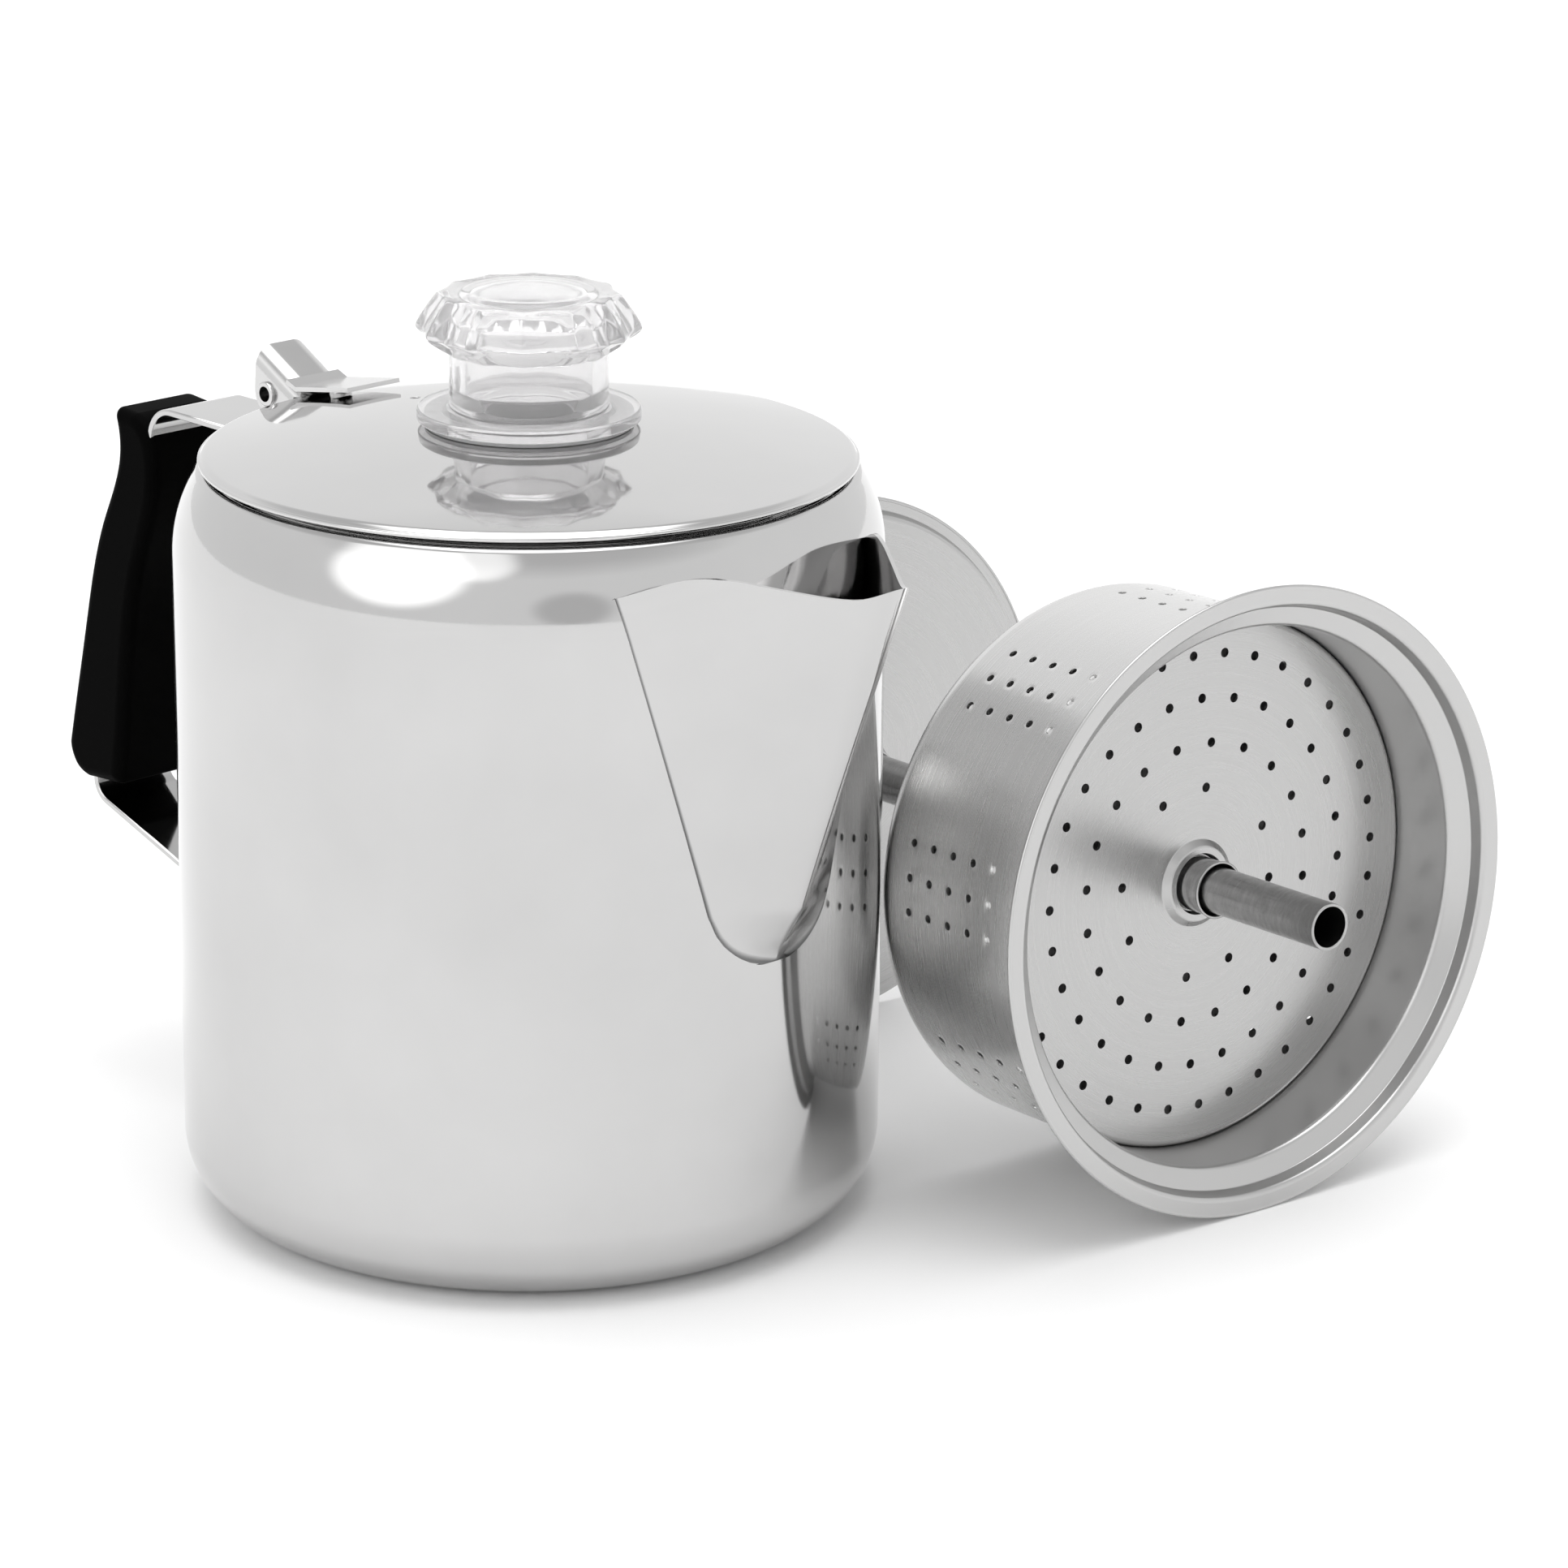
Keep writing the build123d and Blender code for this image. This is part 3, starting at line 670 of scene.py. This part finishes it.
def strap_mesh(bm, route, width, gauge):
    """Adds a flat bar with rounded long edges that follows a route in the XZ plane."""
    section = []
    corner = gauge * 0.32
    for sx, sy, start in ((1, 1, 0), (-1, 1, 90), (-1, -1, 180), (1, -1, 270)):
        centre = (sx * (width / 2 - corner), sy * (gauge / 2 - corner))
        section += arc_points(centre, corner, start, start + 90, 4)
    rings = []
    for i, point in enumerate(route):
        before = route[max(0, i - 1)]
        after = route[min(len(route) - 1, i + 1)]
        along = (after - before).normalized()
        up = Vector((-along.y, along.x))
        rings.append([bm.verts.new((point.x + up.x * s.y, s.x, point.y + up.y * s.y)) for s in section])
    for low, high in zip(rings, rings[1:]):
        for i in range(len(section)):
            j = (i + 1) % len(section)
            bm.faces.new((low[i], low[j], high[j], high[i]))
    bm.faces.new(rings[0])
    bm.faces.new(rings[-1])


def make_handle():
    bm = bmesh.new()
    route = rounded(STRAP_ROUTE, STRAP_BENDS, 0.05)
    strap_mesh(bm, route, STRAP_W, STRAP_GAUGE)
    piece("strap", bm, "pot", POLISHED, "handle_strap")
    for name, low, high in (("strap_saddle_top", 131.0, 144.7), ("strap_saddle_low", 22.0, 38.0)):
        bm = bmesh.new()
        grid = []
        for z in between(low, high, 24):
            inner = envelope_r(z) + 0.02
            across = [math.asin(y / inner) for y in between(-STRAP_W / 2, STRAP_W / 2, 24)]
            grid.append([bm.verts.new((-inner * math.cos(a), inner * math.sin(a), z)) for a in across])
        for a, b in zip(grid, grid[1:]):
            for i in range(len(a) - 1):
                bm.faces.new((a[i], a[i + 1], b[i + 1], b[i]))
        bmesh.ops.recalc_face_normals(bm, faces=bm.faces)
        piece(name, bm, "pot", POLISHED, None, gauge=1.25, bevel=0.35, offset=1.0)


# ---- lid ----------------------------------------------------------------------------------------

def dome_z(radius):
    """Height of the dome's top surface at a distance from the axis."""
    return DOME_TOP_Z - DOME_R + math.sqrt(DOME_R ** 2 - radius ** 2)


def make_lid():
    drop = LID_GAUGE / 2
    middle = LID_R - drop
    notch_r, notch_half = 17.2, math.radians(17.5)
    angles = around(252)
    notches = (math.radians(60), math.radians(240))

    def hole_r(angle):
        near = min(abs(angle - n) for n in notches)
        return notch_r if near < notch_half else LID_HOLE_R

    edge = rounded(((61.6, dome_z(61.6) - drop), (63.3, dome_z(63.3) - drop),
                    (middle, LID_EDGE_Z + 0.45)), (1.6,), 0.08)
    radii = ([LID_HOLE_R, 15.4, 17.8, 20.0, 24.0, 28.0, 31.0] + between(32.3, 35.7, 4)
             + between(37.0, 60.6, 12))
    profile = [Vector((r, dome_z(r) - drop)) for r in radii] + edge
    rows = list(range(len(profile)))

    def place(u, v):
        low = min(int(v), len(profile) - 2)
        r, z = profile[low].lerp(profile[low + 1], v - low)
        if r < 20.0:
            share = (r - LID_HOLE_R) / (20.0 - LID_HOLE_R)
            inner = hole_r(u % TURN)
            r = inner + (20.0 - inner) * share
            z = dome_z(r) - drop
        return r * math.cos(u), r * math.sin(u), z

    step = (35.7 - 32.3) / 4
    vent = (124, radii.index(32.3), 4, VENT_R / VENT_X, VENT_R / step)
    bm = bmesh.new()
    pierced_sheet(bm, angles, rows, [vent], place)
    piece("lid_dome", bm, "lid", LID_STEEL, "lid_shell", gauge=LID_GAUGE, bevel=0.12)
    bm = bmesh.new()
    lathe(bm, arc_points((LID_R - 0.55, LID_EDGE_Z + 0.55), 0.55, 0, 345, 23), 252, closed_profile=True)
    piece("lid_bead", bm, "lid", LID_STEEL, None)
    bm = bmesh.new()
    heights = (SKIRT_LOW_Z, 150.0, 152.0, dome_z(SKIRT_R) - LID_GAUGE)
    lathe(bm, [Vector((SKIRT_R - drop, z)) for z in heights], 240)
    piece("lid_ring", bm, "lid", POLISHED, "lid_skirt", gauge=LID_GAUGE, bevel=0.2)


# ---- knob ---------------------------------------------------------------------------------------

KNOB_POINTS = 12


def make_knob():
    """Clear knob: scalloped crown, plain neck, flange and bayonet skirt round one hollow."""
    outer = [(Vector(p), 0.0) for p in rounded(
        ((11.8, 156.2), (13.0, 156.2), (13.0, 160.0), (21.95, 160.0), (21.95, 162.4), (15.6, 162.4),
         (15.6, 173.2)),
        (0.3, 0.3, 0.35, 0.5, 0.7), 0.3)]
    outer += [(Vector(p), depth) for p, depth in (
        ((15.75, 173.6), 0.25), ((16.4, 173.9), 0.6), ((18.8, 175.3), 0.9), ((20.9, 176.7), 1.15),
        ((21.7, 177.4), 1.2), ((22.1, 178.1), 1.25), ((21.9, 178.9), 1.25), ((21.2, 180.2), 1.2),
        ((19.6, 182.6), 1.1), ((18.4, 184.2), 1.0), ((17.9, 184.75), 0.95), ((17.3, 185.05), 0.85),
        ((16.0, 185.1), 0.4), ((14.6, 185.0), 0.0), ((13.9, 184.75), 0.0), ((13.5, 184.85), 0.0),
        ((13.1, 185.25), 0.0), ((12.4, 185.45), 0.0), ((11.6, 185.4), 0.0), ((11.2, 185.35), 0.0),
        ((10.6, 185.5), 0.0), ((8.0, 185.85), 0.0), ((4.0, 186.15), 0.0), ((0.0, 186.2), 0.0))]
    hollow = rounded(((0, 182.2), (10.0, 181.6), (12.6, 178.4), (12.6, 166.0), (11.4, 163.0), (11.4, 156.2),
                      (11.8, 156.2)), (3.0, 2.5, 2.0, 2.0, 0.2), 0.25)
    count = 240
    bm = bmesh.new()
    rings = []
    for point, depth in outer + [(p, 0.0) for p in hollow[:-1]]:
        if point.x < 1e-6:
            rings.append([bm.verts.new((0, 0, point.y))])
            continue
        ring = []
        for i in range(count):
            angle = TURN * i / count
            wave = abs(math.cos(angle * KNOB_POINTS / 2))
            r = point.x - depth * wave
            ring.append(bm.verts.new((r * math.cos(angle), r * math.sin(angle), point.y)))
        rings.append(ring)
    for low, high in list(zip(rings, rings[1:])) + [(rings[-1], rings[0])]:
        if len(low) == 1 and len(high) == 1:
            continue
        for i in range(count):
            j = (i + 1) % count
            if len(low) == 1:
                bm.faces.new((low[0], high[j], high[i]))
            elif len(high) == 1:
                bm.faces.new((low[i], low[j], high[0]))
            else:
                bm.faces.new((low[i], low[j], high[j], high[i]))
    piece("knob_clear", bm, "knob", CLEAR, "knob")
    for name, turn in (("knob_lug_a", 0.0), ("knob_lug_b", math.pi)):
        bm = bmesh.new()
        wedge = rounded(((12.7, 157.9), (15.1, 157.9), (15.1, 156.2), (12.7, 156.2)), (0.4, 0.4), 0.3)
        rings = []
        for across in between(-16.0, 16.0, 16):
            angle = turn + math.radians(across)
            shy = 0.35 * max(0.0, abs(across) - 14.0) / 2
            rings.append([bm.verts.new(((r - shy) * math.cos(angle), (r - shy) * math.sin(angle), z))
                          for r, z in wedge])
        for low, high in zip(rings, rings[1:]):
            for i in range(len(wedge)):
                j = (i + 1) % len(wedge)
                bm.faces.new((low[i], low[j], high[j], high[i]))
        bm.faces.new(rings[0])
        bm.faces.new(rings[-1])
        piece(name, bm, "knob", CLEAR, None)
    bm = bmesh.new()
    ring = rounded(((17.0, 159.2), (17.0, 159.93), (20.5, 159.93), (20.5, 158.98), (17.0, 159.2)),
                   (0.25, 0.25, 0.2), 0.4)
    lathe(bm, ring[:-1], 160, closed_profile=True)
    piece("knob_ring", bm, "lid", SEAL, "knob_seal")


# ---- insert -------------------------------------------------------------------------------------

def plate_holes():
    """Hole centres shared by the spreader and the basket's floor, with their radius."""
    spots = [(19.6, 9.5 + 90 * pair + side * 17) for pair in range(4) for side in (-1, 1)]
    for radius, count, start in ((28.85, 20, 10.2), (38.1, 28, 10.7), (47.1, 36, 1.0)):
        spots += [(radius, start + 360 * i / count) for i in range(count)]
    return [(r * math.cos(math.radians(a)), r * math.sin(math.radians(a)), PLATE_HOLE_R) for r, a in spots]


def circle_at(radius, angles):
    return [(radius * math.cos(a), radius * math.sin(a)) for a in angles]


def make_basket():
    span = 6
    row_turn = math.radians(7.25)
    columns = []
    for group in range(8):
        start = math.radians(38.3 + 45 * group) - 1.5 * row_turn
        columns += between(start, start + 3 * row_turn, 3 * span)
        columns += between(start + 3 * row_turn, start + TURN / 8, 19)[1:-1]
    group_columns = 3 * span + 19
    middle = BASKET_R - BASKET_GAUGE / 2
    pitch = 6.2
    first = -22.3 - pitch / 2
    corner = rounded(((48.0, BASKET_FLOOR_AT), (middle, BASKET_FLOOR_AT), (middle, first)), (5.0,), 0.1)[1:]
    wall = [Vector((middle, s)) for s in between(first, first + 5 * pitch, 5 * span)]
    crest = rounded(((middle, wall[-1].y), (middle, 14.2), (59.9, 16.5), (60.7, FLANGE_AT),
                     (FLANGE_R + 0.1, FLANGE_AT)), (1.2, 0.9, 0.9), 0.2)
    profile = corner[:-1] + wall + [Vector((middle, s)) for s in (7.5, 9.5, 11.5)] + crest[1:]
    rows = list(range(len(profile)))

    def place(u, v):
        low = min(int(v), len(profile) - 2)
        r, z = profile[low].lerp(profile[low + 1], v - low)
        return r * math.cos(u), r * math.sin(u), z

    foot = len(corner) - 1
    holes = [(group * group_columns + row * span, foot + j * span, span, WALL_HOLE_R / middle,
              WALL_HOLE_R / (pitch / span))
             for group, count in enumerate(WALL_HOLE_COUNTS) for row in range(3) for j in range(count)]
    bm = bmesh.new()
    pierced_sheet(bm, columns, rows, holes, place)
    pierced_disc(bm, circle_at(corner[0].x, columns), circle_at(5.8, between(0, TURN, 64)[:-1]),
                 plate_holes(), BASKET_FLOOR_AT)
    piece("basket", bm, "basket", WALL_STEEL, "basket_cup", place=INSERT_FRAME,
          gauge=BASKET_GAUGE, bevel=0.14, flat_along=True)
    bm = bmesh.new()
    lathe(bm, arc_points((FLANGE_R, FLANGE_AT), EDGE_BEAD_R, 0, 345, 23), 296, closed_profile=True)
    piece("basket_bead", bm, "basket", WALL_STEEL, None, place=INSERT_FRAME)
    bm = bmesh.new()
    guide = GUIDE_BORE_R + GUIDE_GAUGE / 2
    path = rounded(((9.0, -34.25), (guide, -34.25), (guide, 6.0), (guide + 0.35, 7.0)), (0.4, 1.0), 0.2)
    lathe(bm, path, 96)
    piece("guide_tube", bm, "basket", TUBE_STEEL, "basket_guide", place=INSERT_FRAME,
          gauge=GUIDE_GAUGE, bevel=0.12)
    bm = bmesh.new()
    lathe(bm, arc_points((guide + 0.45, -0.7), 0.55, 0, 340, 17), 96, closed_profile=True)
    piece("guide_bead", bm, "basket", TUBE_STEEL, None, place=INSERT_FRAME)


def make_spreader():
    drop = SPREADER_GAUGE / 2
    columns = around(240)
    hub = rounded(((6.35, 1.0), (7.6, 1.0), (8.9, -drop), (9.8, -drop)), (0.5, 0.6), 0.2)
    rim = rounded(((52.0, -drop), (SPREADER_R, -drop), (SPREADER_R, -3.6)), (1.3,), 0.12)
    bm = bmesh.new()
    lathe(bm, hub, columns)
    lathe(bm, rim, columns)
    pierced_disc(bm, circle_at(52.0, columns), circle_at(9.8, columns), plate_holes(), -drop)
    piece("spreader", bm, "spreader", PLATE_STEEL, "spreader_plate", place=INSERT_FRAME,
          gauge=SPREADER_GAUGE, bevel=0.12, flat_along=True)


def make_stem():
    bm = bmesh.new()
    wall = STEM_R - STEM_BORE_R
    middle = (STEM_R + STEM_BORE_R) / 2
    low = BASE_PLATE_AT + 1
    lathe(bm, [Vector((middle, s)) for s in between(low, STEM_TOP, 40)], 96)
    piece("tube", bm, "stem", TUBE_STEEL, "stem_tube", place=INSERT_FRAME,
          gauge=wall, bevel=0.12)
    bm = bmesh.new()
    hub = STEM_R + 0.38
    path = rounded(((hub, -112.6), (hub, -116.4), (54.3, -120.6), (55.4, BASE_PLATE_AT),
                    (BASE_PLATE_R + 0.1, BASE_PLATE_AT)), (1.6, 0.8, 0.6), 0.15)
    wide = path[:-1]
    for i in range(len(path) - 1, 0, -1):
        if abs(path[i].x - path[i - 1].x) > 20:
            wide = path[:i] + [path[i - 1].lerp(path[i], k / 8) for k in range(1, 8)] + path[i:]
    lathe(bm, wide, 256)
    piece("base_disc", bm, "stem", PLATE_STEEL, "stem_base", place=INSERT_FRAME,
          gauge=0.7, bevel=0.12)
    bm = bmesh.new()
    lathe(bm, arc_points((BASE_PLATE_R, BASE_PLATE_AT), EDGE_BEAD_R, 0, 345, 23), 256, closed_profile=True)
    piece("base_bead", bm, "stem", PLATE_STEEL, None, place=INSERT_FRAME)
    bm = bmesh.new()
    collar = rounded(((STEM_R + 0.02, -112.5), (6.3, -112.5), (6.9, -111.6), (6.9, -109.6), (6.2, -108.6),
                      (5.6, -106.4), (STEM_R + 0.02, -106.2)), (0.25, 0.4, 0.5, 0.8, 0.2), 0.25)
    lathe(bm, collar, 96, closed_profile=True)
    piece("collar", bm, "stem", TUBE_STEEL, "stem_collar", place=INSERT_FRAME)


make_pot_body()
make_spout()
make_handle()
make_lid()
make_knob()
make_basket()
make_spreader()
make_stem()

# ---- parts that keep their CAD shape ------------------------------------------------------------

for node, material in (("handle_grip", GRIP), ("hinge_leaf", HINGE_STEEL), ("hinge_pin", HINGE_STEEL),
                       ("hinge_hood", HINGE_STEEL)):
    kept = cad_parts[node]
    for held in kept.material_slots:
        held.material = material


# ---- camera and studio --------------------------------------------------------------------------

CAMERA = (810.85, -722.44, 427.69)
CAMERA_HEADING = 45.641      # degrees, as are the next two
CAMERA_DOWN = 17.506
CAMERA_ROLL = 0.538


def make_camera():
    """Camera at the photographed view."""
    data = bpy.data.cameras.new("camera")
    data.lens = 131.25
    data.sensor_width = 36.0
    data.clip_start = 0.05
    data.clip_end = 50.0
    camera = bpy.data.objects.new("camera", data)
    bpy.context.scene.collection.objects.link(camera)
    turn = (Matrix.Rotation(math.radians(CAMERA_HEADING), 4, "Z")
            @ Matrix.Rotation(math.radians(90 - CAMERA_DOWN), 4, "X")
            @ Matrix.Rotation(math.radians(CAMERA_ROLL), 4, "Z"))
    camera.matrix_world = Matrix.Translation(Vector(CAMERA) * MM) @ turn
    bpy.context.scene.camera = camera


def softbox(tree, way, total, azimuth, elevation, inner, outer, light):
    """Adds a soft round patch of light, or of shade, to the surroundings. Angles are in degrees."""
    a, e = math.radians(azimuth), math.radians(elevation)
    near = add(tree, "ShaderNodeVectorMath", operation="DOT_PRODUCT")
    tree.links.new(way, near.inputs[0])
    near.inputs[1].default_value = (math.cos(e) * math.cos(a), math.cos(e) * math.sin(a), math.sin(e))
    patch = add(tree, "ShaderNodeMapRange", interpolation_type="SMOOTHERSTEP")
    tree.links.new(near.outputs["Value"], patch.inputs["Value"])
    patch.inputs["From Min"].default_value = math.cos(math.radians(outer))
    patch.inputs["From Max"].default_value = math.cos(math.radians(inner))
    patch.inputs["To Max"].default_value = light
    return math_node(tree, "ADD", total, patch.outputs["Result"])


def make_studio():
    """Pale floor and even pale surroundings, with soft lights at the front left and overhead."""
    bm = bmesh.new()
    bmesh.ops.create_grid(bm, x_segments=8, y_segments=8, size=6.0)
    mesh = bpy.data.meshes.new("floor")
    bm.to_mesh(mesh)
    bm.free()
    floor = bpy.data.objects.new("floor", mesh)
    bpy.context.scene.collection.objects.link(floor)
    material, tree, shader = new_material("floor_paper")
    place = add(tree, "ShaderNodeTexCoord").outputs["Object"]
    patch = add(tree, "ShaderNodeTexNoise", Scale=3.0, Detail=3.0)
    tree.links.new(place, patch.inputs["Vector"])
    tree.links.new(ramp(tree, patch.outputs["Fac"], ((0.3, 0.9), (0.7, 0.92))), shader.inputs["Base Color"])
    shader.inputs["Roughness"].default_value = 0.8
    shader.inputs["Specular IOR Level"].default_value = 0.2
    mesh.materials.append(material)
    world = bpy.data.worlds.new("studio")
    bpy.context.scene.world = world
    world.use_nodes = True
    tree = world.node_tree
    way = add(tree, "ShaderNodeTexCoord").outputs["Generated"]
    height = add(tree, "ShaderNodeSeparateXYZ")
    tree.links.new(way, height.inputs["Vector"])
    total = ramp(tree, height.outputs["Z"],
                 ((0.0, 1.0), (0.52, 1.0), (0.68, 0.74), (0.86, 0.64), (0.94, 0.92), (1.0, 1.0)))
    for azimuth, elevation, inner, outer, light in (
            (-88, 28, 15, 26, 1.1),
            (-62, 41, 5, 15, 0.8),
            (0, 90, 12, 34, 2.4),
            (-28, 9, 6, 16, -0.3)):
        total = softbox(tree, way, total, azimuth, elevation, inner, outer, light)
    tree.links.new(total, tree.nodes["Background"].inputs["Strength"])
    tree.nodes["Background"].inputs["Color"].default_value = (1.0, 1.0, 1.0, 1)
    bpy.context.scene.view_settings.view_transform = "Standard"


make_camera()
make_studio()
